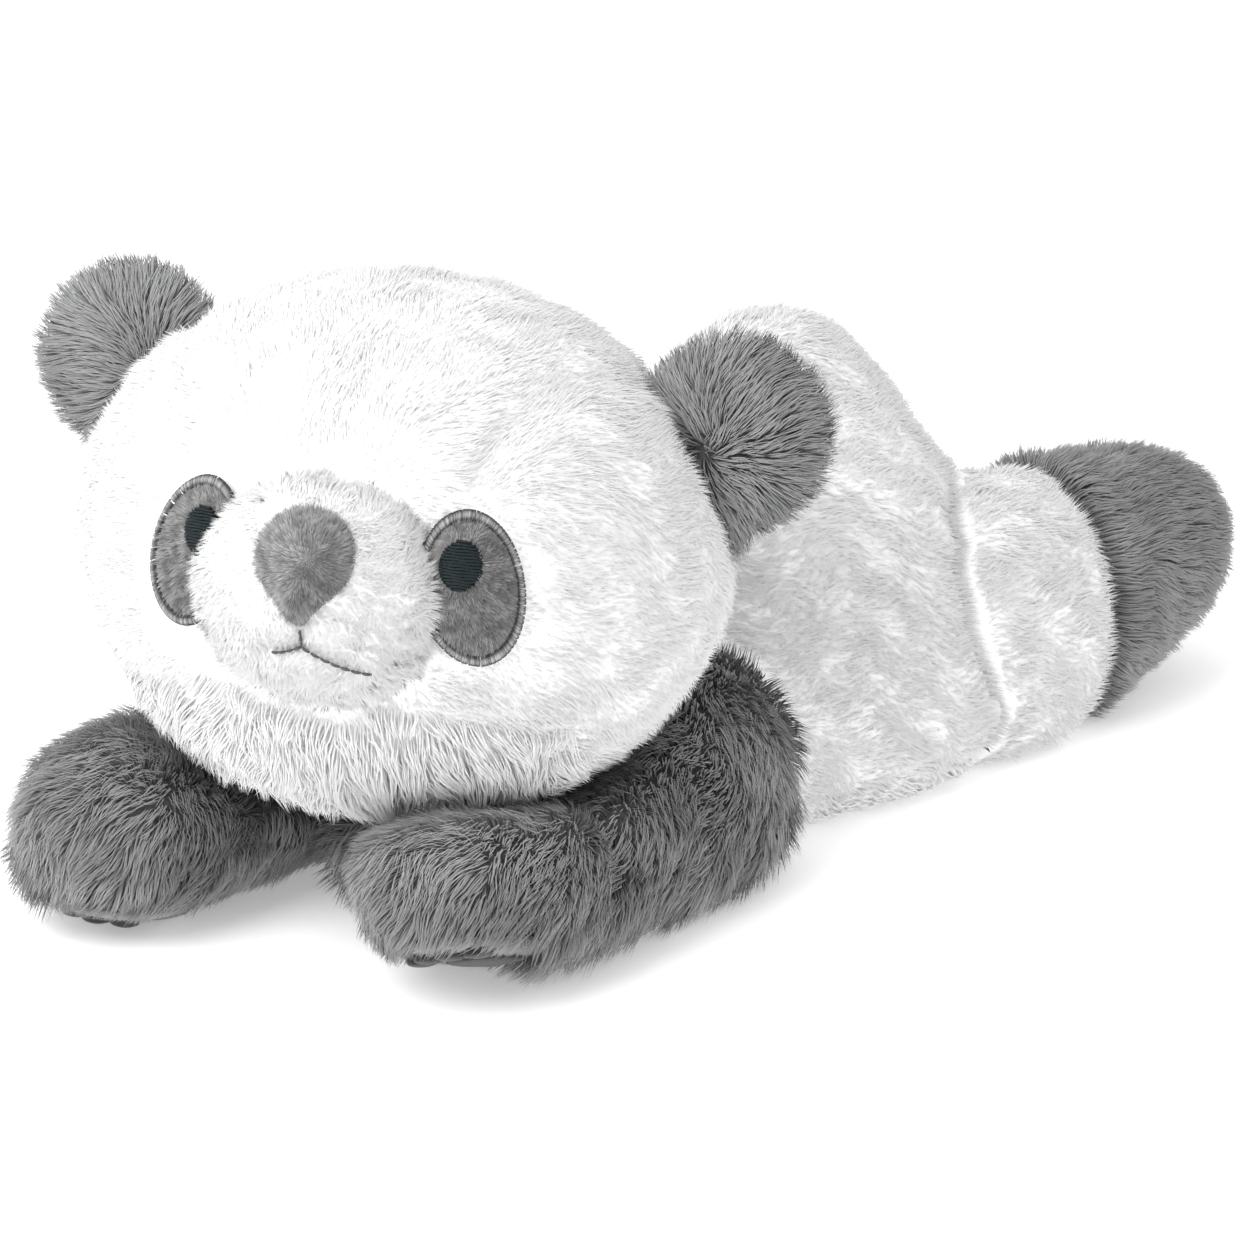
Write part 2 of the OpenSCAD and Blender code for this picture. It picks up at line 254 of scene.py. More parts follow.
SHORT_GREY_CLOTH = cloth_material(
    "short_grey_backing", greys((0.3, 0.13, 0.02), (0.7, 0.24, 0.03)), 700, 0.5
)
SOLE_CLOTH = cloth_material(
    "sole_velour", greys((0.3, 0.33, 0.01), (0.7, 0.48, 0.01)), 900, 0.5
)
PAD_CLOTH = cloth_material(
    "dark_velour", greys((0.3, 0.012), (0.7, 0.035)), 900, 0.6, 0.6, 0.25
)
DARK_THREAD = cloth_material(
    "dark_thread", [(0.3, (0.003, 0.006, 0.007)), (0.7, (0.016, 0.026, 0.028))], 1500, 0.5, 0.4,
    stretch=(0.25, 1, 1),
)
MOUTH_THREAD = cloth_material(
    "mouth_thread", greys((0.3, 0.05), (0.7, 0.14)), 1500, 0.5, 0.5
)
STUFFING = cloth_material(
    "stuffing_cloth", greys((0.3, 0.7), (0.7, 0.88)), 400, 0.6
)


# ---------------------------------------------------------------- meshes


def points_of(mesh):
    flat = np.empty(len(mesh.vertices) * 3, np.float32)
    mesh.vertices.foreach_get("co", flat)
    return flat.reshape(-1, 3).astype(float) / MM


def normals_of(mesh):
    flat = np.empty(len(mesh.vertices) * 3, np.float32)
    mesh.vertices.foreach_get("normal", flat)
    return flat.reshape(-1, 3).astype(float)


def move_points(mesh, points):
    mesh.vertices.foreach_set("co", (points * MM).astype(np.float32).ravel())
    mesh.update()


def triangles_of(mesh):
    mesh.calc_loop_triangles()
    flat = np.empty(len(mesh.loop_triangles) * 3, np.int32)
    mesh.loop_triangles.foreach_get("vertices", flat)
    return flat.reshape(-1, 3)


def node_mesh(nodes):
    """The points and triangles of CAD nodes, taken together"""
    points, triangles, base = [], [], 0
    for name in nodes:
        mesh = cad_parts[name].data
        points.append(points_of(mesh))
        triangles.append(triangles_of(mesh) + base)
        base += len(points[-1])
    return np.concatenate(points), np.concatenate(triangles)


def mesh_of(name, points, faces):
    mesh = bpy.data.meshes.new(name)
    faces = [list(map(int, face)) for face in faces]
    mesh.from_pydata((np.asarray(points, float) * MM).tolist(), [], faces)
    mesh.update()
    return mesh


def closed_mesh(name, points, faces, weld=False):
    """A mesh whose faces all face outward"""
    bm = bmesh.new()
    bm.from_mesh(mesh_of(name, points, faces))
    if weld:
        bmesh.ops.remove_doubles(bm, verts=bm.verts[:], dist=WELD)
    bmesh.ops.recalc_face_normals(bm, faces=bm.faces[:])
    mesh = bpy.data.meshes.new(name)
    bm.to_mesh(mesh)
    bm.free()
    return mesh


def wall(rings, count, first=0):
    """The faces between rings of count points each, which are numbered from first"""
    faces = []
    for a in range(first, first + (rings - 1) * count, count):
        for j in range(count):
            k = (j + 1) % count
            faces.append((a + j, a + k, a + count + k, a + count + j))
    return faces


def tube(rings, count, first=0):
    """The wall of a tube and a face over each of its ends"""
    last = first + (rings - 1) * count
    return wall(rings, count, first) + [
        tuple(range(first + count - 1, first - 1, -1)), tuple(range(last, last + count))]


def show(name, mesh, material, body, replaces=(), smooth=True):
    """A finished piece: it rides on its body and stands for the CAD nodes it replaces"""
    piece = bpy.data.objects.new(name, mesh)
    bpy.context.scene.collection.objects.link(piece)
    if smooth:
        mesh.shade_smooth()
    mesh.materials.clear()
    mesh.materials.append(material)
    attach(piece, body)
    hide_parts(*replaces)
    return piece


def worked(mesh, kind, **settings):
    """The mesh after one modifier"""
    carrier = bpy.data.objects.new("carrier", mesh)
    bpy.context.scene.collection.objects.link(carrier)
    modifier = carrier.modifiers.new(kind, kind)
    for key, value in settings.items():
        setattr(modifier, key, value)
    bpy.context.view_layer.update()
    evaluated = carrier.evaluated_get(bpy.context.evaluated_depsgraph_get())
    result = bpy.data.meshes.new_from_object(evaluated)
    bpy.data.objects.remove(carrier)
    return result


def keep_largest(mesh):
    """Drops every loose part of a mesh but the largest"""
    bm = bmesh.new()
    bm.from_mesh(mesh)
    unseen, best = set(bm.verts), []
    while unseen:
        front = [unseen.pop()]
        part = list(front)
        while front:
            near = {e.other_vert(v) for v in front for e in v.link_edges} & unseen
            unseen -= near
            front = list(near)
            part += front
        if len(part) > len(best):
            best = part
    bmesh.ops.delete(bm, geom=list(set(bm.verts) - set(best)), context="VERTS")
    bm.to_mesh(mesh)
    bm.free()


def relax(mesh, rounds, share):
    """Evens a mesh out; share says how far each point takes part"""
    flat = np.empty(len(mesh.edges) * 2, np.int32)
    mesh.edges.foreach_get("vertices", flat)
    a, b = flat.reshape(-1, 2).T
    points = points_of(mesh)
    count = np.bincount(flat, minlength=len(points))[:, None]
    for _ in range(rounds):
        near = np.stack(
            [np.bincount(a, points[b, k], len(points)) + np.bincount(b, points[a, k], len(points))
             for k in range(3)], 1)
        points += 0.6 * share[:, None] * (near / count - points)
    move_points(mesh, points)


def gaps(points, tree, reach):
    """The distance of each point from a surface, up to reach"""
    found = [tree.find_nearest(p * MM, reach * MM) for p in points]
    return np.array([reach if f[0] is None else f[3] / MM for f in found])


def tree_of(points, triangles):
    return BVHTree.FromPolygons((points * MM).tolist(), triangles.tolist())


def inflate(mesh, pressure, held, most):
    """Lets air pressure puff the cloth out between its held points, by no more than most"""
    carrier = bpy.data.objects.new("cloth", mesh)
    bpy.context.scene.collection.objects.link(carrier)
    group = carrier.vertex_groups.new(name="held")
    group.add(np.flatnonzero(held).tolist(), 1.0, "REPLACE")
    modifier = carrier.modifiers.new("Cloth", "CLOTH")
    cloth = modifier.settings
    cloth.quality, cloth.mass = 5, 0.3
    cloth.tension_stiffness = cloth.compression_stiffness = 12
    cloth.bending_stiffness = 0.4
    cloth.use_pressure, cloth.uniform_pressure_force = True, pressure
    cloth.vertex_group_mass = "held"
    cloth.effector_weights.gravity = 0
    frames = 20
    modifier.point_cache.frame_start, modifier.point_cache.frame_end = 1, frames
    scene = bpy.context.scene
    for number in range(1, frames + 1):
        scene.frame_set(number)
    after = carrier.evaluated_get(bpy.context.evaluated_depsgraph_get()).to_mesh()
    moved = points_of(after) - points_of(mesh)
    bpy.data.objects.remove(carrier)
    scene.frame_set(1)
    size = np.linalg.norm(moved, axis=1, keepdims=True)
    move_points(mesh, points_of(mesh) + moved * np.minimum(1, most / np.maximum(size, 1e-6)))


class Skin:
    """The stuffed cloth of one body part, with what is needed to grow pile on it"""

    def __init__(self, mesh):
        self.mesh = mesh
        self.points, self.normals = points_of(mesh), normals_of(mesh)
        self.triangles = triangles_of(mesh)
        self.tree = tree_of(self.points, self.triangles)

    def scatter(self, density, where):
        """Evenly random points, at a density per square centimetre, with their normals"""
        corners = self.points[self.triangles]
        middle = corners.mean(1)
        area = np.linalg.norm(
            np.cross(corners[:, 1] - corners[:, 0], corners[:, 2] - corners[:, 0]), axis=1) / 2
        area = area * where(middle)
        count = int(area.sum() * density / 100 * THIN_OUT)
        order = np.lexsort(np.round(middle / 12).T)
        share = np.cumsum(area[order])
        pick = np.searchsorted(share, (np.arange(count) + rng.random(count)) / count * share[-1])
        chosen = self.triangles[order[np.minimum(pick, len(order) - 1)]]
        w = rng.random((count, 2))
        w = np.where(w.sum(1, keepdims=True) > 1, 1 - w, w)
        w = np.column_stack([1 - w.sum(1), w])[:, :, None]
        spots = (self.points[chosen] * w).sum(1)
        inside = where(spots) > 0
        return spots[inside], unit((self.normals[chosen] * w).sum(1))[inside]


def stuffed(cad, neighbours, voxel, rounds, inset, creases=(), most=4.0, near=9.0, pressure=4):
    """A skin from CAD covers: remeshed, evened out, set in by the pile's depth, puffed and
    creased at its seams. Where it faces a neighbour across a joint it keeps the CAD form."""
    mesh = worked(mesh_of("form", *node_mesh(cad)), "REMESH", mode="VOXEL", voxel_size=voxel * MM)
    keep_largest(mesh)
    share = np.ones(len(mesh.vertices))
    if neighbours:
        share = ramp(gaps(points_of(mesh), tree_of(*node_mesh(neighbours)), near), 2.5, near)
    relax(mesh, rounds, share)
    move_points(mesh, points_of(mesh) - normals_of(mesh) * (inset * share)[:, None])
    points = points_of(mesh)
    held = share < 0.5
    for distance, _, _ in creases:
        held |= distance(points) < voxel * 0.6
    inflate(mesh, pressure, held, most)
    relax(mesh, 2, share)
    mesh = worked(mesh, "SUBSURF", levels=1)
    points, normals = points_of(mesh), normals_of(mesh)
    for distance, depth, width in creases:
        pull = depth * np.exp(-((distance(points) / width) ** 2))
        points = points - normals * pull[:, None]
    points[:, 2] = np.maximum(points[:, 2], FLOOR_CLEAR)
    move_points(mesh, points)
    mesh.update()
    return Skin(mesh)


def cut(skin, planes, name):
    """The part of a skin in front of every plane (point, normal), closed where it is cut"""
    bm = bmesh.new()
    bm.from_mesh(skin.mesh)
    for at, way in planes:
        done = bmesh.ops.bisect_plane(
            bm, geom=bm.verts[:] + bm.edges[:] + bm.faces[:], dist=1e-7,
            plane_co=np.array(at, float) * MM, plane_no=way, clear_inner=True)
        rim = [e for e in done["geom_cut"] if isinstance(e, bmesh.types.BMEdge) and e.is_boundary]
        bmesh.ops.holes_fill(bm, edges=rim, sides=0)
    bmesh.ops.triangulate(bm, faces=[f for f in bm.faces if len(f.verts) > 4])
    mesh = bpy.data.meshes.new(name)
    bm.to_mesh(mesh)
    bm.free()
    return mesh


# ---------------------------------------------------------------- pile

# One strand is a three-sided spike with a bend in it; one tuft of short pile is a plain spike
STRAND = [(0, 2, 1), (0, 1, 4, 3), (1, 2, 5, 4), (2, 0, 3, 5), (3, 4, 6), (4, 5, 6), (5, 3, 6)]
SPIKE = [(0, 2, 1), (0, 1, 3), (1, 2, 3), (2, 0, 3)]

# How each kind of pile is cut: widths in mm, clump as a share, soft as how far it shades as one
WHITE_FUR = {"clump": 0.2, "soft": 0.97, "short": True}
GREY_FUR = {"width": 0.6, "clump": 0.6, "soft": 0.8}
FELT = {"width": 0.46, "clump": 0.5, "clump_share": 9, "short": True}
HEAD_DENSITY, BODY_DENSITY, EAR_DENSITY, LIMB_DENSITY = 72, 58, 120, 80  # strands per cm2
FELT_DENSITY, FELT_LENGTH = 560, 2.8
WHITE_LENGTH, GREY_LENGTH, EAR_LENGTH, CHEST_LENGTH = 8.5, 12.5, 11.5, 20


def spikes(name, faces, points, uv, normals):
    """One mesh of many equal spikes: points, uv and normals are (spikes, corners, 3, 2 or 3)"""
    count, corners = points.shape[:2]
    mesh = bpy.data.meshes.new(name)
    mesh.vertices.add(count * corners)
    mesh.vertices.foreach_set("co", (points * MM).astype(np.float32).ravel())
    loops = np.array([i for face in faces for i in face], np.int32)
    sizes = np.array([len(face) for face in faces], np.int32)
    index = (loops[None] + np.arange(count, dtype=np.int32)[:, None] * corners).ravel()
    mesh.loops.add(len(index))
    mesh.loops.foreach_set("vertex_index", index)
    every = np.tile(sizes, count)
    mesh.polygons.add(len(every))
    mesh.polygons.foreach_set("loop_start", (np.cumsum(every) - every).astype(np.int32))
    mesh.update(calc_edges=True)
    layer = mesh.uv_layers.new(name="OFBake")
    layer.uv.foreach_set("vector", uv.reshape(-1, 2)[index].astype(np.float32).ravel())
    mesh.polygons.foreach_set("use_smooth", np.ones(len(every), bool))
    mesh.normals_split_custom_set_from_vertices(normals.reshape(-1, 3).astype(np.float32))
    return mesh


def ring_round(at, along, normal, half_width, flat):
    """Three points round each strand, and the way each of them faces"""
    side = unit(np.cross(normal, along) + 1e-6)
    up = np.cross(along, side)
    way = [math.cos(a) * side + math.sin(a) * up for a in np.radians([90, 210, 330])]
    ring = [at + half_width[:, None] * (side * (w * side).sum(1, keepdims=True)
                                       + flat * up * (w * up).sum(1, keepdims=True)) for w in way]
    return np.stack(ring, 1), np.stack(way, 1)


def strand_mesh(name, base, mid, tip, normal, width, tone, soft=0.7):
    along = unit(mid - base)
    root, way = ring_round(base, along, normal, width / 2, 0.6)
    bend, _ = ring_round(mid, unit(tip - base), normal, width * 0.4, 0.6)
    points = np.concatenate([root, bend, tip[:, None]], 1)
    facing = np.concatenate([way, way, unit(tip - base)[:, None]], 1)
    normals = unit(soft * normal[:, None] + (1 - soft) * facing)
    v = np.array([0.0, 0.0, 0.02, 0.5, 0.5, 0.52, 1.0])
    u = np.array([0.0, 0.02, 0.01, 0.0, 0.02, 0.01, 0.01])
    uv = np.stack([tone[:, None] * 0.96 + u, np.broadcast_to(v, (len(base), 7))], 2)
    return spikes(name, STRAND, points, uv, normals)


def spike_mesh(name, base, tip, normal, width, tone, soft=0.6):
    along = unit(tip - base)
    root, way = ring_round(base, along, normal, width / 2, 0.8)
    points = np.concatenate([root, tip[:, None]], 1)
    normals = unit(soft * normal[:, None] + (1 - soft) * np.concatenate([way, along[:, None]], 1))
    v, u = np.array([0.0, 0.0, 0.02, 1.0]), np.array([0.0, 0.02, 0.01, 0.01])
    uv = np.stack([tone[:, None] * 0.96 + u, np.broadcast_to(v, (len(base), 4))], 2)
    return spikes(name, SPIKE, points, uv, normals)


def clear_share(base, normal, tip, others):
    """How much of each strand may stay before it meets a neighbour; 0 for a root inside one"""
    reach = np.linalg.norm(tip - base, axis=1)
    share = np.ones(len(base))
    for i, (b, n, t, length) in enumerate(zip(base * MM, normal, tip * MM, reach * MM)):
        for tree in others:
            spot, facing, _, distance = tree.find_nearest(b, length * 1.1)
            if spot is None:
                continue
            away = b - np.array(spot)
            if away @ np.array(facing) < 0:
                share[i] = 0
                break
            hit = tree.ray_cast(b, (t - b) / length, length * 1.4)
            if hit[0] is not None:
                share[i] = min(share[i], max(0.15, 0.62 * hit[3] / length))
    return share


def grow(name, skin, body, slot, material, where, density, length, lean, comb, others,
         width=0.9, clump=0.5, clump_share=14, tone_shift=0.0, tone_size=16, wander=28, seed=1,
         soft=0.7, short=False, outward=None):
    """Pile on the part of a skin where `where` is true, in pieces of at most CHUNK strands.
    Beside a neighbour the strands stand outward, so they close over the joint."""
    base, normal = skin.scatter(density, where)
    count = len(base)
    if outward is not None:
        room = np.min([gaps(base, tree, 9) for tree in others], axis=0)
        open_share = ramp(room, 1.5, 9)[:, None]
        normal = unit(normal * open_share + outward(base) * (1 - open_share))
    size = (length(base) if callable(length) else np.full(count, float(length)))
    size = size * rng.uniform(0.72, 1.12, count)
    way = comb(base, normal) + 1e-6
    way = unit(way - normal * (way * normal).sum(1, keepdims=True))
    angle = np.radians(wander) * waves(base, 15, seed) + np.radians(9) * rng.normal(size=count)
    cross = np.cross(normal, way)
    way = way * np.cos(angle)[:, None] + cross * np.sin(angle)[:, None]
    tilt = np.radians(lean + 9 * waves(base, 9, seed + 1) + 6 * rng.normal(size=count))[:, None]
    first = normal * np.cos(tilt * 0.7) + way * np.sin(tilt * 0.7)
    last = normal * np.cos(tilt * 1.3) + way * np.sin(tilt * 1.3)
    mid = base + first * size[:, None] * 0.5
    tip = mid + last * size[:, None] * 0.5
    if clump:
        chosen = np.arange(0, count, clump_share)
        near = KDTree(len(chosen))
        for k, i in enumerate(chosen):
            near.insert(base[i], k)
        near.balance()
        lead = chosen[[near.find(b)[1] for b in base]]
        pull = clump * rng.uniform(0.5, 1.0, count)[:, None]
        target = tip[lead] + 0.25 * (base - base[lead])
        mid += (mid[lead] + 0.6 * (base - base[lead]) - mid) * pull * 0.35
        tip += (target - tip) * pull
    share = clear_share(base, normal, tip, others)
    if outward is not None:
        blocked = (share > 0) & (share < 1)
        rise = unit(outward(base[blocked]) + 0.3 * way[blocked]) * size[blocked, None]
        mid[blocked] = base[blocked] + rise * 0.45
        tip[blocked] = base[blocked] + rise * 0.85 + 0.1 * size[blocked, None] * way[blocked]
        share[blocked] = clear_share(base[blocked], normal[blocked], tip[blocked], others)
    kept = share > 0
    base, normal, mid, tip, share, size = (
        a[kept] for a in (base, normal, mid, tip, share, size))
    mid, tip = base + (mid - base) * share[:, None], base + (tip - base) * share[:, None]
    base = base - normal * 0.7
    for points in (base, mid, tip):
        points[:, 2] = np.maximum(points[:, 2], FLOOR_CLEAR)
    count = len(base)
    tone = 0.5 + tone_shift + 0.26 * waves(base, tone_size, seed + 2)
    tone = np.clip(tone + 0.16 * rng.normal(size=count), 0.0, 0.98)
    wide = width * rng.uniform(0.75, 1.2, count) / math.sqrt(THIN_OUT)
    parts = max(1, math.ceil(count / CHUNK))
    band = np.argsort(np.argsort(base[:, 0] + 0.01 * base[:, 1])) * parts // max(count, 1)
    for part in range(parts):
        own = band == part
        label = name if parts == 1 else f"{name}_{part + 1}"
        if short:
            mesh = spike_mesh(label, base[own], tip[own], normal[own], wide[own], tone[own], soft)
        else:
            mesh = strand_mesh(
                label, base[own], mid[own], tip[own], normal[own], wide[own], tone[own], soft)
        show(label, mesh, material, body, smooth=False)
    return count


# ---------------------------------------------------------------- skins


def plane_gap(place, axis, at, where=None):
    """Distance from a plane across one of a place's axes, for a seam; where limits the seam"""

    def distance(points):
        local = place.inside(points)
        gap = np.abs(local[:, axis] - at)
        return gap if where is None else np.where(where(local), gap, 1e3)

    return distance


def line_gap(place, ends):
    """Distance from a run of straight lines, in a place's axes"""
    ends = np.array(ends, float)

    def distance(points):
        local, best = place.inside(points), np.full(len(points), 1e3)
        for a, b in zip(ends[:-1], ends[1:]):
            t = np.clip(((local - a) @ (b - a)) / ((b - a) @ (b - a)), 0, 1)
            best = np.minimum(best, np.linalg.norm(local - a - t[:, None] * (b - a), axis=1))
        return best

    return distance


ROW = Place((0, 0, 0), np.eye(3))
COVERS = {
    "torso": ["left_back_cover", "right_back_cover", "belly_cover", "chest_panel"],
    "head": ["face_cover", "head_back_cover"],
    "tail": ["tail_cover"],
}
for side in SIDES:
    COVERS[f"{side}_ear"] = [f"{side}_ear_front", f"{side}_ear_back"]
    COVERS[f"{side}_arm"] = [f"{side}_arm_top_cover", f"{side}_arm_under_cover"]
    COVERS[f"{side}_leg"] = [f"{side}_leg_cover", f"{side}_foot_cover"]


def others_than(body, *left_out):
    return [n for b, nodes in COVERS.items() if b != body and b not in left_out for n in nodes]


skins = {}
skins["head"] = stuffed(
    COVERS["head"], COVERS["left_ear"] + COVERS["right_ear"], 4.2, 16, 0.8,
    [(plane_gap(HEAD, 1, EAR_LINE_Y), 1.6, 3.0),
     (line_gap(HEAD, [(84, -2, 64), (66, -38, 64), (50, -64, 50), (42, -80, 28)]), 2.2, 6.0),
     (line_gap(HEAD, [(-84, -2, 64), (-66, -38, 64), (-50, -64, 50), (-42, -80, 28)]), 2.2, 6.0)],
)
skins["torso"] = stuffed(
    COVERS["torso"], others_than("torso"), 4.5, 14, 0.8,
    [(plane_gap(ROW, 0, 0, lambda p: p[:, 2] > BELLY_LINE_Z), 1.8, 4.0),
     (plane_gap(ROW, 2, BELLY_LINE_Z), 1.2, 3.0)],
)
skins["tail"] = stuffed(COVERS["tail"], COVERS["torso"], 2.5, 6, 3.0, most=1.5)
for side, s in SIDES.items():
    skins[f"{side}_ear"] = stuffed(
        COVERS[f"{side}_ear"], COVERS["head"], 2.8, 8, 4.0,
        [(plane_gap(EAR[side], 1, 0), 1.0, 2.5)], most=2.5, near=5.0)
    arm_way = unit(np.array(PAW[side], float) - SHOULDER[side])
    fold_at = np.array(PAW[side]) - 34 * arm_way
    fold = Place(fold_at, np.column_stack([np.cross(arm_way, UP), arm_way, UP]))
    skins[f"{side}_arm"] = stuffed(
        COVERS[f"{side}_arm"], COVERS["torso"], 4.0, 14, 3.5,
        [(plane_gap(fold, 1, 0, lambda p: p[:, 2] > -10), 3.5, 7.0),
         (plane_gap(ROW, 2, ARM_SEAM_Z), 1.0, 3.0)], most=3.0, near=6.0)
    skins[f"{side}_leg"] = stuffed(
        COVERS[f"{side}_leg"], COVERS["torso"], 4.2, 14, 1.8,
        [(plane_gap(LEG[side], 2, ANKLE_CUT), 2.2, 3.5)], most=3.0)

# The muzzle reaches down through the pile to the cloth it is sewn on
MUZZLE_VOXEL = 2.4
muzzle = worked(mesh_of("muzzle", *node_mesh(["muzzle_cover", "muzzle_stuffing"])), "REMESH",
                mode="VOXEL", voxel_size=MUZZLE_VOXEL * MM)
keep_largest(muzzle)
local = HEAD.inside(points_of(muzzle))
depth = (np.linalg.norm(local / HEAD_R, axis=1) - 1) * HEAD_R[1]
root = 1 - ramp(depth, 1.5, 6)
relax(muzzle, 10, np.ones(len(local)))
move_points(muzzle, points_of(muzzle) - normals_of(muzzle) * (1.2 * (1 - root))[:, None]
            + HEAD.way([0, 1, 0]) * (5.5 * root)[:, None])
inflate(muzzle, 4, root > 0.5, 1.5)
muzzle = worked(muzzle, "SUBSURF", levels=1)
local = HEAD.inside(points_of(muzzle))
front = ramp(-local[:, 1], 84, 96)
smile = np.abs(local[:, 2] + 26 + 0.25 * np.abs(local[:, 0]))
pull = 2.0 * np.exp(-(smile / 3.0) ** 2) * (1 - ramp(np.abs(local[:, 0]), 12, 22))
dent = ramp(local[:, 2], -28, -24) * (1 - ramp(local[:, 2], -14, -8))  # under the nose
pull += 1.8 * np.exp(-(local[:, 0] / 2.5) ** 2) * dent
move_points(muzzle, points_of(muzzle) - normals_of(muzzle) * (pull * front)[:, None])
skins["muzzle"] = Skin(muzzle)


NOSE_LEAN, NOSE_SINK = 8, 5.5  # it leans back, and sits in the muzzle


def nose_form():
    """A soft rounded triangle with a ridge down to its pointed tip"""
    across, rings = 48, 22
    points, faces = [], []
    for i in range(rings + 1):
        rho = i / rings
        for j in range(across):
            angle = 2 * math.pi * j / across
            c, s_ = math.cos(angle), math.sin(angle)
            low = max(0.0, -s_)
            r = math.sin(rho * math.pi / 2)
            x = 17.6 * r * c * (1 - 0.30 * low ** 1.4) * (1 + 0.05 * max(0, s_))
            z = r * s_ * (18.5 if s_ > 0 else 21.5)
            y = -math.cos(rho * math.pi / 2) * 17.0 + 1.5 * max(0, -z / 20) * r
            ridge = 2.6 * math.exp(-(x / 4.5) ** 2) * float(ramp(-z, -6, 5)) * (1 - r ** 4)
            points.append((x, y - ridge, z))
        if i:
            base = (i - 1) * across
            for j in range(across):
                k = (j + 1) % across
                faces.append((base + j, base + across + j, base + across + k, base + k))
    points.append((0, 3.0, 0))
    last = rings * across
    for j in range(across):
        faces.append((last + j, len(points) - 1, last + (j + 1) % across))
    rows = np.array(points)
    rows[:across] = rows[:across].mean(0)
    return rows @ turn("X", NOSE_LEAN).T + NOSE_AT + (0, NOSE_SINK, 0), faces


nose_points, nose_faces = nose_form()
skins["nose"] = Skin(closed_mesh("nose", HEAD.outside(nose_points), nose_faces, weld=True))
TREES = {name: skin.tree for name, skin in skins.items()}


def around(*names):
    return [TREES[n] for n in names]


# ---------------------------------------------------------------- cloth pieces


def all_of(points):
    return np.ones(len(points), bool)


def cloth_piece(name, skin, planes, material, body, replaces):
    piece = show(name, cut(skin, planes, name), material, body, replaces)


ear_plane = HEAD.outside([0, EAR_LINE_Y, 0])
for part, y, replaces in (("face", -1, ["face_cover", "head_stuffing"]),
                          ("head_back", 1, ["head_back_cover"])):
    cloth_piece(f"{part}_cloth", skins["head"], [(ear_plane, HEAD.way([0, y, 0]))], WHITE_CLOTH,
                "head", replaces)
chest_line, belly_line = (0, CHEST_LINE_Y, 0), (0, 0, BELLY_LINE_Z)
for side, s in SIDES.items():
    cloth_piece(f"{side}_back_cloth", skins["torso"],
                [(chest_line, (0, 1, 0)), (belly_line, (0, 0, 1)), ((0, 0, 0), (s, 0, 0))],
                WHITE_CLOTH, "torso", [f"{side}_back_cover"])
cloth_piece("belly_cloth", skins["torso"], [(chest_line, (0, 1, 0)), (belly_line, (0, 0, -1))],
            WHITE_CLOTH, "torso", ["belly_cover", "torso_stuffing", "pellet_bag"])
cloth_piece("chest_cloth", skins["torso"], [(chest_line, (0, -1, 0))], GREY_CLOTH, "torso",
            ["chest_panel"])
cloth_piece("tail_cloth", skins["tail"], [], WHITE_CLOTH, "tail",
            ["tail_cover", "tail_stuffing"])
cloth_piece("muzzle_cloth", skins["muzzle"], [], WHITE_CLOTH, "head",
            ["muzzle_cover", "muzzle_stuffing"])
cloth_piece("nose_cloth", skins["nose"], [], SHORT_GREY_CLOTH, "head",
            ["nose_cover", "nose_stuffing"])
arm_seam = (0, 0, ARM_SEAM_Z)
for side in SIDES:
    ear, leg = EAR[side], LEG[side]
    ankle = leg.outside([0, 0, ANKLE_CUT])
    for part, body, plane, white, more, fill in (
        ("ear_front", "ear", (ear.at, ear.way([0, -1, 0])), False, [], 0.5),
        ("ear_back", "ear", (ear.at, ear.way([0, 1, 0])), False, [], 0.5),
        ("arm_top", "arm", (arm_seam, (0, 0, 1)), False, [f"{side}_arm_stuffing"], 0.7),
        ("arm_under", "arm", (arm_seam, (0, 0, -1)), False, [], 0.7),
        ("leg", "leg", (ankle, leg.way([0, 0, -1])), True, [f"{side}_leg_stuffing"], 0.7),
        ("foot", "leg", (ankle, leg.way([0, 0, 1])), False, [], 0.7),
    ):
        cover = f"{side}_{part}" if body == "ear" else f"{side}_{part}_cover"
        cloth_piece(f"{side}_{part}_cloth", skins[f"{side}_{body}"], [plane],
                    WHITE_CLOTH if white else GREY_CLOTH, f"{side}_{body}",
                    [cover, *more])

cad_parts["neck_stuffing"].data.materials.clear()
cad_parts["neck_stuffing"].data.materials.append(STUFFING)


# ---------------------------------------------------------------- the face's flat pieces


def in_front(name, x, z):
    """The point of a skin straight in front of (x, z) in the head's axes"""
    start = HEAD.outside([x, FACE_RAY_Y, z]) * MM
    return np.array(TREES[name].ray_cast(start, HEAD.way([0, 1, 0]))[0]) / MM


def on_head(x, z):
    return np.array([in_front("head", a, b) for a, b in zip(np.ravel(x), np.ravel(z))])


def eye_point(s, angle, share):
    """A place on an eye patch, in the head's x and z: share is 0 at its middle and 1 at its edge"""
    c, k = math.cos(math.radians(EYE_TILT)), math.sin(math.radians(EYE_TILT))
    u, w = EYE_R[0] * share * np.cos(angle), EYE_R[1] * share * np.sin(angle)
    return EYE_SHIFT + s * (EYE_OUT + u * c - w * k), EYE_Z + u * k + w * c


def eye_share(points, s):
    """How far out from the middle of an eye patch each point lies, 1 at its edge"""
    local = HEAD.inside(points)
    c, k = math.cos(math.radians(EYE_TILT)), math.sin(math.radians(EYE_TILT))
    a, b = s * (local[:, 0] - EYE_SHIFT) - EYE_OUT, local[:, 2] - EYE_Z
    u, w = a * c + b * k, b * c - a * k
    return np.where(local[:, 1] < 0, np.hypot(u / EYE_R[0], w / EYE_R[1]), 9.0)


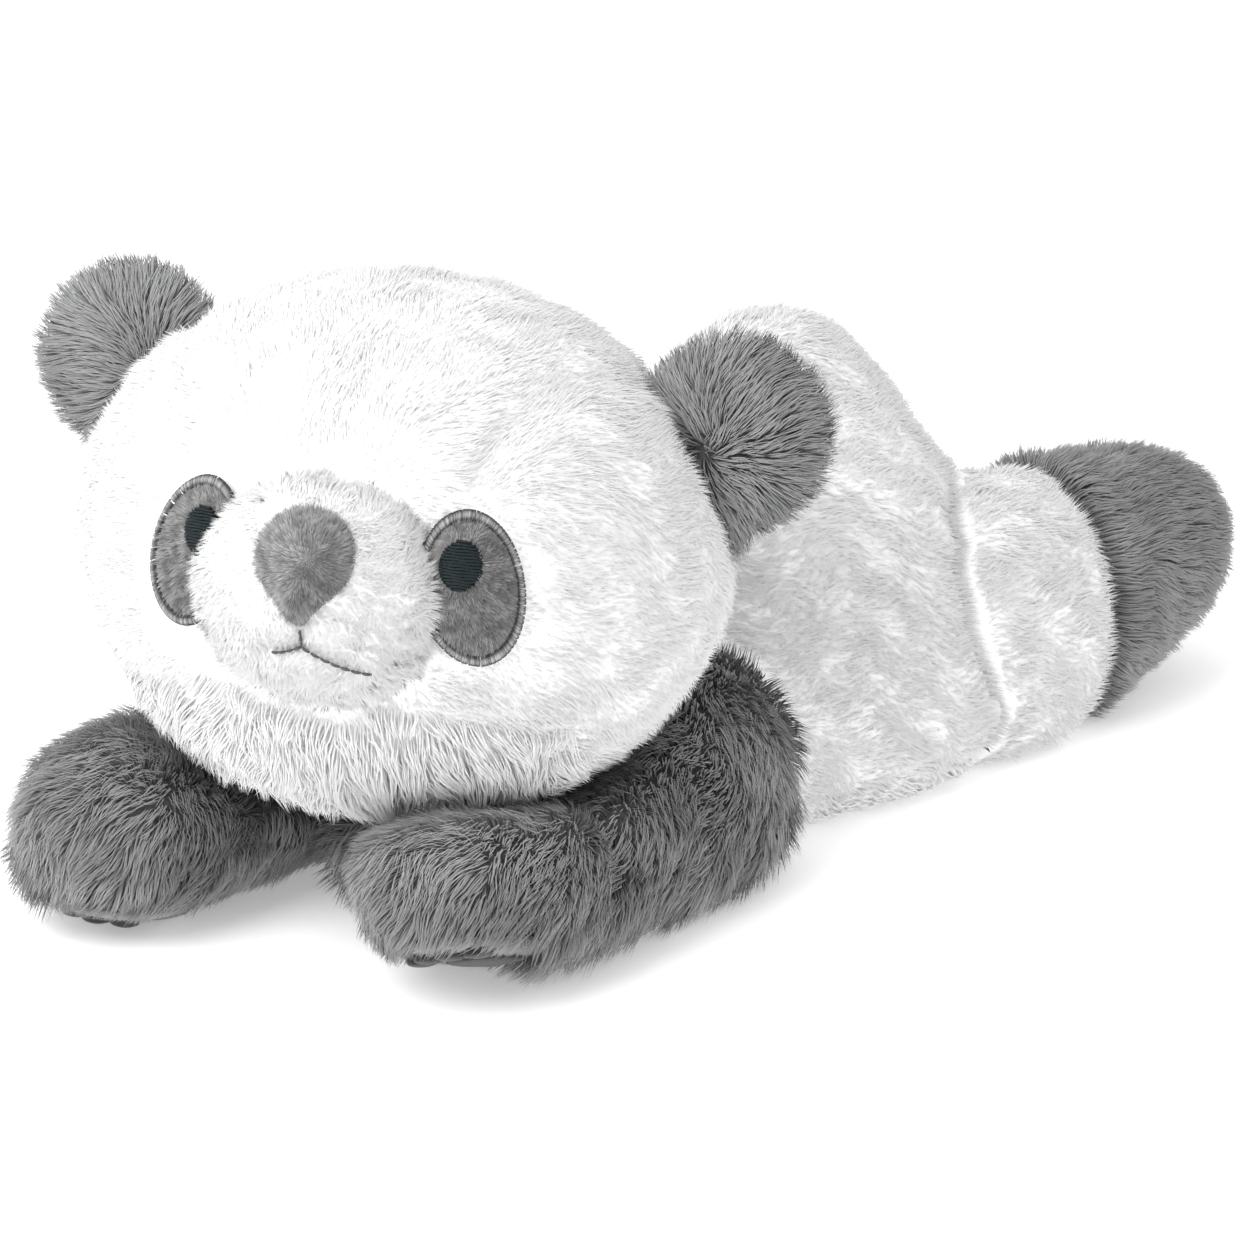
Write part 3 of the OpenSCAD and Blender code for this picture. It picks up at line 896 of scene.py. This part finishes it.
def muzzle_share(points, grow_by=0.0):
    """How far out from the middle of the muzzle's egg each point lies, 1 at its surface"""
    return np.linalg.norm((HEAD.inside(points) - MUZZLE_AT) / (MUZZLE_R + grow_by), axis=1)


def smooth_normals(points):
    """Outward ways on the face that don't follow the mesh's facets"""
    return unit(HEAD.way(HEAD.inside(points) / HEAD_R ** 2))


PATCH_LIFT, BORDER_LIFT, PUPIL_LIFT = 3.4, 4.4, 5.0
for side, s in SIDES.items():
    around_count, shares = 40, [0.03, 0.25, 0.5, 0.75, 0.93, 0.97]
    angles = np.arange(around_count) * 2 * math.pi / around_count * s
    rings = []
    for share in shares:
        spots = on_head(*eye_point(s, angles, share))
        rings.append(spots + smooth_normals(spots)
                     * (PATCH_LIFT + 1.0 * (1 - share ** 2) - 1.6 * (share > 0.95)))
    spots = on_head(*eye_point(s, angles, 0.97))
    rings.append(spots - smooth_normals(spots) * 0.8)
    rings.append(on_head(*eye_point(s, angles, 0.03)) - smooth_normals(rings[0]) * 0.8)
    patch_mesh = closed_mesh("patch", np.concatenate(rings), tube(len(rings), around_count))
    show(f"{side}_eye_patch_cloth", patch_mesh, SHORT_GREY_CLOTH, "head",
         [f"{side}_eye_patch"])
    patch_skin = Skin(patch_mesh)

    def on_patch(points, s=s):
        pupil = np.hypot((s * (HEAD.inside(points)[:, 0] - EYE_SHIFT) - PUPIL_OUT) / PUPIL_R[0],
                         (HEAD.inside(points)[:, 2] - PUPIL_Z) / PUPIL_R[1])
        lifted = HEAD.inside(points) / (HEAD_R + 1.0)
        return ((eye_share(points, s) < 0.93) & (pupil > 0.88)
                & (muzzle_share(points) > 0.97) & (np.linalg.norm(lifted, axis=1) > 0.985))

    def from_pupil(points, normals, s=s):
        return HEAD.way(HEAD.inside(points) - (EYE_SHIFT + s * PUPIL_OUT, -80, PUPIL_Z))

    grow(f"{side}_eye_patch_pile", patch_skin, "head", "grey_short_pile", SHORT_GREY_PILE,
         on_patch, FELT_DENSITY, FELT_LENGTH, 46, from_pupil, [], tone_size=2.2, wander=22,
         seed=31 + s, soft=0.6, **FELT)

    # The border: close satin stitches across the patch's edge
    count = 190
    angles = np.arange(count) * 2 * math.pi / count + rng.normal(size=count) * 0.01
    inner = on_head(*eye_point(s, angles + 0.012, 0.92))
    outer = on_head(*eye_point(s, angles - 0.012, 1.07))
    up_in, up_out = smooth_normals(inner), smooth_normals(outer)
    keep = muzzle_share((inner + outer) / 2 + up_in * 4) > 0.96
    start = (inner + up_in * (BORDER_LIFT - 0.9))[keep]
    end = (outer + up_out * (BORDER_LIFT - 1.1))[keep]
    top = ((inner + outer) / 2 + up_in * (BORDER_LIFT + 0.1))[keep]
    stitch_rings, stitch_uv, stitch_ways = [], [], []
    tone = np.clip(0.5 + 0.3 * rng.normal(size=len(start)), 0, 0.98)
    steps = 6
    for i in range(steps + 1):
        t = i / steps
        bend = 2 * top - (start + end) / 2
        centre = (1 - t) ** 2 * start + 2 * t * (1 - t) * bend + t ** 2 * end
        along = unit(end - start)
        sideways = unit(np.cross(up_in[keep], along))
        rise = np.cross(along, sideways)
        r = 0.52 * math.sin(math.pi * (0.12 + 0.76 * t)) ** 0.3
        for a in np.radians([0, 90, 180, 270]):
            facing = math.cos(a) * sideways + math.sin(a) * rise
            stitch_rings.append(centre + r * facing)
            stitch_ways.append(facing)
            u = tone * 0.96 + 0.01 * math.cos(a)
            # t runs along the stitch into border_stitch's ramp, which paints the shade at its ends
            # and the highlight in its middle
            stitch_uv.append(np.column_stack([u, np.full(len(start), t)]))
    *side_faces, start_face, end_face = tube(steps + 1, 4)
    stitch_faces = [start_face, *side_faces, end_face]
    border = spikes(f"{side}_eye_border_stitches", stitch_faces, np.stack(stitch_rings, 1),
                    np.stack(stitch_uv, 1), np.stack(stitch_ways, 1))
    show(f"{side}_eye_border_stitches", border, BORDER_STITCH, "head",
         [f"{side}_eye_border"], smooth=False)

    # The pupil: a low dome of flat threads laid across it
    rows, sides = 17, 8
    pupil_points, pupil_faces = [], []
    for row in range(rows):
        z = PUPIL_R[1] * (-1 + (2 * row + 1) / rows)
        half = PUPIL_R[0] * math.sqrt(1 - (z / PUPIL_R[1]) ** 2)
        steps = 9
        first = len(pupil_points)
        xs = np.linspace(-half, half, steps)
        spots = on_head(EYE_SHIFT + s * PUPIL_OUT + xs, PUPIL_Z + z + 0.1 * np.sin(xs + row))
        way = smooth_normals(spots)
        dome = PUPIL_LIFT + 1.3 * np.sqrt(
            np.clip(1 - (xs / PUPIL_R[0]) ** 2 - (z / PUPIL_R[1]) ** 2, 0, 1))
        thick = 0.62 * np.sqrt(np.clip(1.06 - (xs / (half + 0.3)) ** 2, 0.02, 1))
        for c, n, lift, r in zip(spots, way, dome, thick):
            tall = HEAD.way([0, 0, 1])
            for a in np.arange(sides) * 2 * math.pi / sides:
                pupil_points.append(c + n * (lift + 0.9 * r * math.cos(a))
                                    + tall * 0.55 * math.sin(a) * (r / 0.62) ** 0.3)
        pupil_faces += tube(steps, sides, first)
    pupil_mesh = closed_mesh("pupil", pupil_points, pupil_faces)
    show(f"{side}_eye_pupil_threads", pupil_mesh, DARK_THREAD, "head",
         [f"{side}_eye_pupil"])


# ---------------------------------------------------------------- pile on each part


def away_from_muzzle(points, normals):
    local = HEAD.inside(points)
    out = unit(local - MUZZLE_AT - (0, 10, 0))
    behind = ramp(local[:, 1], -10, 60)[:, None]
    return HEAD.way(out) * (1 - 0.7 * behind) - UP * (0.25 + 0.9 * behind)


def on_face(points):
    clear = (muzzle_share(points) > 0.97)
    for s in SIDES.values():
        clear &= eye_share(points, s) > 1.04
    return clear


def white_length(points):
    near_eye = np.minimum(eye_share(points, 1), eye_share(points, -1))
    near_muzzle = muzzle_share(points)
    beside_eye = 0.5 + 0.5 * ramp(near_eye, 1.0, 1.7)
    return WHITE_LENGTH * beside_eye * (0.6 + 0.4 * ramp(near_muzzle, 0.95, 1.25))


def ruff(points):
    """The shaggy fringe below the muzzle, 0 to 1"""
    local = HEAD.inside(points)
    low = ramp(-local[:, 2], 38, 58)
    return low * ramp(-local[:, 1], 5, 30) * (1 - ramp(np.abs(local[:, 0]), 62, 86))


head_others = around("torso", "left_arm", "right_arm", "left_ear", "right_ear")
grow("head_pile", skins["head"], "head", "white_plush", WHITE_PILE, on_face, HEAD_DENSITY,
     white_length, 73, away_from_muzzle, head_others, width=0.62, seed=3, **WHITE_FUR)
grow("ruff_pile", skins["head"], "head", "white_plush", WHITE_PILE,
     lambda p: on_face(p) & (ruff(p) + 0.4 * waves(p, 7, 4) > 0.5), 46,
     lambda p: 7 + 7 * ruff(p), 58, lambda p, n: away_from_muzzle(p, n) - 0.8 * UP, head_others,
     width=0.6, clump=0.8, clump_share=24, seed=5, soft=0.97)


def curls(points, normals):
    return HEAD.way(unit(HEAD.inside(points) - NOSE_AT)) + 0.6 * np.stack(
        [waves(points, 4, k) for k in (51, 52, 53)], 1)


grow("muzzle_pile", skins["muzzle"], "head", "white_short_pile", CURLY_PILE,
     lambda p: np.linalg.norm(HEAD.inside(p) / HEAD_R, axis=1) > 0.95, 300,
     lambda p: 3.2 + 3.5 * (1 - ramp(-HEAD.inside(p)[:, 1], 84, 100)), 50, curls,
     [], width=0.6, clump=0.6, clump_share=9, tone_size=3, wander=60, seed=7, soft=0.95, short=True)
SWIRL = np.array([2.5, -118, 4.0])
grow("nose_pile", skins["nose"], "head", "grey_short_pile", SHORT_GREY_PILE,
     lambda p: muzzle_share(p) > 0.98, FELT_DENSITY, FELT_LENGTH, 46,
     lambda p, n: HEAD.way(HEAD.inside(p) - SWIRL), [], tone_shift=0.1, tone_size=2.5, wander=18,
     seed=9, soft=0.85, **FELT)


def out_of_the_body(points):
    """Away from the line through the torso and the legs"""
    return unit((points - (0, 0, 42)) * (1, 0.15, 1))


def off_patch(place, across, along):
    """True away from the velour patch that is sewn on a palm or a sole"""

    def clear(points):
        local = place.inside(points)
        in_patch = np.hypot(local[:, 0] / across, local[:, 1] / along) < 1
        return ~((np.abs(local[:, 2]) < 9) & in_patch)

    return clear


def down_the_back(points, normals):
    return np.tile([0.0, 1.0, -0.45], (len(points), 1))


torso_others = around("head", "left_arm", "right_arm", "left_leg", "right_leg", "tail")
for side, s in SIDES.items():
    grow(f"{side}_back_pile", skins["torso"], "torso", "white_plush", WHITE_PILE,
         lambda p, s=s: (p[:, 1] > CHEST_LINE_Y) & (p[:, 2] > BELLY_LINE_Z) & (s * p[:, 0] > 0),
         BODY_DENSITY, WHITE_LENGTH, 72, down_the_back, torso_others, width=0.7, seed=11 + s,
         outward=out_of_the_body, **WHITE_FUR)
grow("belly_pile", skins["torso"], "torso", "white_plush", WHITE_PILE,
     lambda p: (p[:, 1] > CHEST_LINE_Y) & (p[:, 2] < BELLY_LINE_Z), 14, 8, 70, down_the_back,
     torso_others, width=1.3, clump=0.3, seed=14, soft=0.9)
# The chest's grey is its own colour; tone_shift=-0.25 makes it darker still, which is painted shade
# for the shade under the chin between the arms
grow("chest_pile", skins["torso"], "torso", "grey_plush", GREY_PILE,
     lambda p: p[:, 1] < CHEST_LINE_Y, 50, CHEST_LENGTH, 38,
     lambda p, n: np.tile([0.0, -0.8, -1.0], (len(p), 1)), torso_others, clump=0.55,
     tone_shift=-0.25, seed=15)
grow("tail_pile", skins["tail"], "tail", "white_plush", WHITE_PILE, all_of, 45, 8, 50,
     lambda p, n: np.tile([0.0, 1.0, 0.1], (len(p), 1)), around("torso"), clump=0.4, seed=16)

for side, s in SIDES.items():
    ear, leg = EAR[side], LEG[side]
    arm_way = unit(np.array(PAW[side], float) - SHOULDER[side])
    leg_way = leg.way([0, 0, 1.0])
    off_palm, off_sole = off_patch(PALM[side], 23, 26), off_patch(SOLE[side], 21, 24)

    def up_the_ear(points, normals, ear=ear):
        local = ear.inside(points)
        return ear.way(unit(local - (0, 0, EAR_MID - 10)))

    grow(f"{side}_ear_pile", skins[f"{side}_ear"], f"{side}_ear", "grey_plush", GREY_PILE,
         lambda p, ear=ear: ear.inside(p)[:, 2] > -8, EAR_DENSITY, EAR_LENGTH, 46, up_the_ear,
         around("head"), width=0.6, clump=0.5, seed=20 + s, soft=0.8)

    def down_the_arm(points, normals, way=arm_way, side=side):
        past = ramp(((points - PAW[side]) @ way), -10, 25)[:, None]
        return way - 0.55 * UP - 0.5 * past * UP

    arm_others = around("head", "torso")

    def arm_length(points, way=arm_way, s=s, side=side):
        inner = ramp(((points - PAW[side]) @ np.cross(way, UP)) * -s, -4, 22)
        return GREY_LENGTH + 9 * inner * (1 - ramp(points[:, 2], 20, 44))

    for part, high in (("top", 1), ("under", -1)):
        grow(f"{side}_arm_{part}_pile", skins[f"{side}_arm"], f"{side}_arm", "grey_plush",
             GREY_PILE, lambda p, high=high: (high * (p[:, 2] - ARM_SEAM_Z) > 0) & off_palm(p),
             LIMB_DENSITY, arm_length, 52, down_the_arm, arm_others,
             seed=23 + s + 5 * high, **GREY_FUR)

    def leg_z(points, leg=leg):
        return leg.inside(points)[:, 2]

    leg_others = around("torso", "tail")
    grow(f"{side}_leg_pile", skins[f"{side}_leg"], f"{side}_leg", "white_plush", WHITE_PILE,
         lambda p: leg_z(p) < ANKLE_CUT, BODY_DENSITY, WHITE_LENGTH, 72,
         lambda p, n: leg_way - 0.35 * UP, leg_others, width=0.7, seed=40 + s,
         outward=out_of_the_body, **WHITE_FUR)

    grow(f"{side}_foot_pile", skins[f"{side}_leg"], f"{side}_leg", "grey_plush", GREY_PILE,
         lambda p: (leg_z(p) > ANKLE_CUT) & off_sole(p), LIMB_DENSITY, GREY_LENGTH, 52,
         lambda p, n: leg_way - 0.45 * UP, leg_others, seed=44 + s, **GREY_FUR)


# ---------------------------------------------------------------- soles, pads and mouth


def oval(width, length, count):
    """The outline of a rounded pad"""
    angle = np.arange(count) * 2 * math.pi / count
    x, y = np.cos(angle) * width / 2, np.sin(angle) * width / 2
    return np.column_stack([x, y + np.sign(np.sin(angle)) * (length - width) / 2])


def puffed_pad(place, outline, centre, low, rise, count=6):
    """A stuffed pad sewn flat at its edge: points and faces"""
    m = len(outline)
    points = [np.append(centre, low - 1.2)]
    for i in range(count + 1):
        t = i / count
        edge = math.cos(t * math.pi / 2)
        for x, y in outline:
            points.append((centre[0] + x * edge, centre[1] + y * edge,
                           low - (1.2 if i == 0 else 0) + rise * math.sin(t * math.pi / 2) ** 0.8))
    points.append((centre[0], centre[1], low + rise))
    points = points[: 1 + count * m] + [points[-1]]
    faces = [(0, 1 + (j + 1) % m, 1 + j) for j in range(m)]
    faces += wall(count, m, 1)
    a = 1 + (count - 1) * m
    faces += [(a + j, a + (j + 1) % m, len(points) - 1) for j in range(m)]
    return place.outside(points), faces


def joined(parts):
    points, faces, base = [], [], 0
    for p, f in parts:
        points.append(p)
        faces += [tuple(i + base for i in face) for face in f]
        base += len(p)
    return np.concatenate(points), faces


for side, s in SIDES.items():
    for place, limb, end, digits, (w, l), (pw, pl), reach in (
        (PALM[side], "arm", "palm", "finger", (44, 50), (22, 26), 17),
        (SOLE[side], "leg", "sole", "toe", (40, 46), (22, 24), 16),
    ):
        body, patch, pad, toes = f"{side}_{limb}", f"{end}_patch", f"{end}_pad", f"{digits}_pads"
        patch_mesh = mesh_of(patch, *puffed_pad(place, oval(w, l, 40), np.zeros(2), -3.0, 3.6))
        show(f"{side}_{patch}_cloth", patch_mesh, SOLE_CLOTH, body,
             [f"{side}_{patch}"])
        grow(f"{side}_{patch}_pile", Skin(patch_mesh), body, "sole_cloth", SOLE_PILE,
             lambda p, place=place: place.inside(p)[:, 2] > -2.6, 300, 1.8, 50,
             lambda p, n, place=place: place.way([0, 1, 0]) + 0 * p, [], width=0.5, clump=0.3,
             tone_size=4, seed=60 + s, short=True)
        main = puffed_pad(place, oval(pw + 2, pl + 2, 36), np.array([0, -pl / 5]), 0.6, 2.2)
        small = []
        for angle in np.radians([-48, -16, 16, 48]):
            centre = np.array([-math.sin(angle), math.cos(angle)]) * reach
            small.append(puffed_pad(place, oval(9.5, 11, 20), centre, 0.2, 2.0, 5))
        for name, form in ((pad, main), (toes, joined(small))):
            piece = show(f"{side}_{name}_cloth", mesh_of(name, *form), PAD_CLOTH, body,
                         [f"{side}_{name}"])


def stitch(start, end, r, out, lift):
    """One short satin stitch as a closed six-sided tube with round ends"""
    steps, sides_ = 5, 6
    along = unit(end - start)
    sideways = unit(np.cross(out, along))
    rise = np.cross(along, sideways)
    points = []
    for i in range(steps + 1):
        t = i / steps
        centre = start + (end - start) * t + out * (lift + 0.5 * math.sin(math.pi * t))
        width = r * max(0.25, math.sin(math.pi * (0.1 + 0.8 * t)) ** 0.5)
        for a in np.arange(sides_) * 2 * math.pi / sides_:
            points.append(centre + width * (math.cos(a) * sideways + math.sin(a) * rise))
    return np.array(points), tube(steps + 1, sides_)


out_way = HEAD.way([0, -1, -0.15])
mouth_lines = [[(0, z) for z in np.linspace(-20, -25.5, 4)]]
mouth_lines.append([(-x, -25.5 - 3.2 * math.sin(x * 0.15)) for x in np.linspace(0, 10, 5)])
mouth_lines.append([(x, -25.5 - 7.0 * math.sin(x * 0.07)) for x in np.linspace(0, 21, 8)])
stitches = []
for line in mouth_lines:
    for (x0, z0), (x1, z1) in zip(line[:-1], line[1:]):
        a, b = in_front("muzzle", x0, z0), in_front("muzzle", x1, z1)
        stitches.append(stitch(a + (b - a) * 0.04, b - (b - a) * 0.04, 0.55, out_way, 1.9))
show("mouth_stitches", mesh_of("mouth", *joined(stitches)), MOUTH_THREAD, "head",
     ["mouth_embroidery"])


# ---------------------------------------------------------------- floor, light and camera

FLOOR_HALF, FLOOR_GLOW = 6000, 0.3
KEY_SIZE, KEY_POWER = 1.2, 22
AZIMUTH, ELEVATION = math.radians(37), math.radians(20)
TARGET, DISTANCE, LENS, SENSOR = np.array([-10, -7.5, 63.0]), 1700.0, 137.1, 36

floor_mesh = mesh_of("floor", [(x * FLOOR_HALF, y * FLOOR_HALF, 0) for x, y in (
    (-1, -1), (1, -1), (1, 1), (-1, 1))], [(0, 1, 2, 3)])
floor = bpy.data.objects.new("floor", floor_mesh)
bpy.context.scene.collection.objects.link(floor)
floor_material, _, floor_shader = graph("floor_paper", 0.9)
floor_shader.inputs["Base Color"].default_value = (0.95, 0.95, 0.95, 1)
floor_shader.inputs["Emission Color"].default_value = (1, 1, 1, 1)
floor_shader.inputs["Emission Strength"].default_value = FLOOR_GLOW
floor_mesh.materials.append(floor_material)


def stand(thing, at, *axes):
    """Puts a camera or a lamp at a point, with its right, upper and back sides as given"""
    bpy.context.scene.collection.objects.link(thing)
    rows = zip(np.column_stack(axes).tolist(), (at * MM).tolist())
    thing.matrix_world = Matrix([[*row, p] for row, p in rows] + [[0, 0, 0, 1]])


look = np.array([-math.sin(AZIMUTH) * math.cos(ELEVATION),
                 math.cos(AZIMUTH) * math.cos(ELEVATION), -math.sin(ELEVATION)])
right = np.array([math.cos(AZIMUTH), math.sin(AZIMUTH), 0])
camera = bpy.data.objects.new("camera", bpy.data.cameras.new("camera"))
camera.data.lens, camera.data.sensor_width = LENS, SENSOR
camera.data.clip_start, camera.data.clip_end = 0.1, 50
stand(camera, TARGET - look * DISTANCE, right, np.cross(right, look), -look)
bpy.context.scene.camera = camera

# One large soft lamp that faces the toy from above the camera's left
key = bpy.data.objects.new("key", bpy.data.lights.new("key", "AREA"))
key.data.shape, key.data.size, key.data.energy = "DISK", KEY_SIZE, KEY_POWER
key_at = TARGET - look * 1100 - right * 900 + UP * 900
way = unit(TARGET - key_at)
side_way = unit(np.cross(way, UP))
stand(key, key_at, side_way, np.cross(side_way, way), -way)
world = bpy.data.worlds.new("world")
bpy.context.scene.world = world
world.use_nodes = True
world.node_tree.nodes["Background"].inputs["Color"].default_value = (1, 1, 1, 1)
world.node_tree.nodes["Background"].inputs["Strength"].default_value = 1.0
bpy.context.scene.view_settings.view_transform = "Standard"
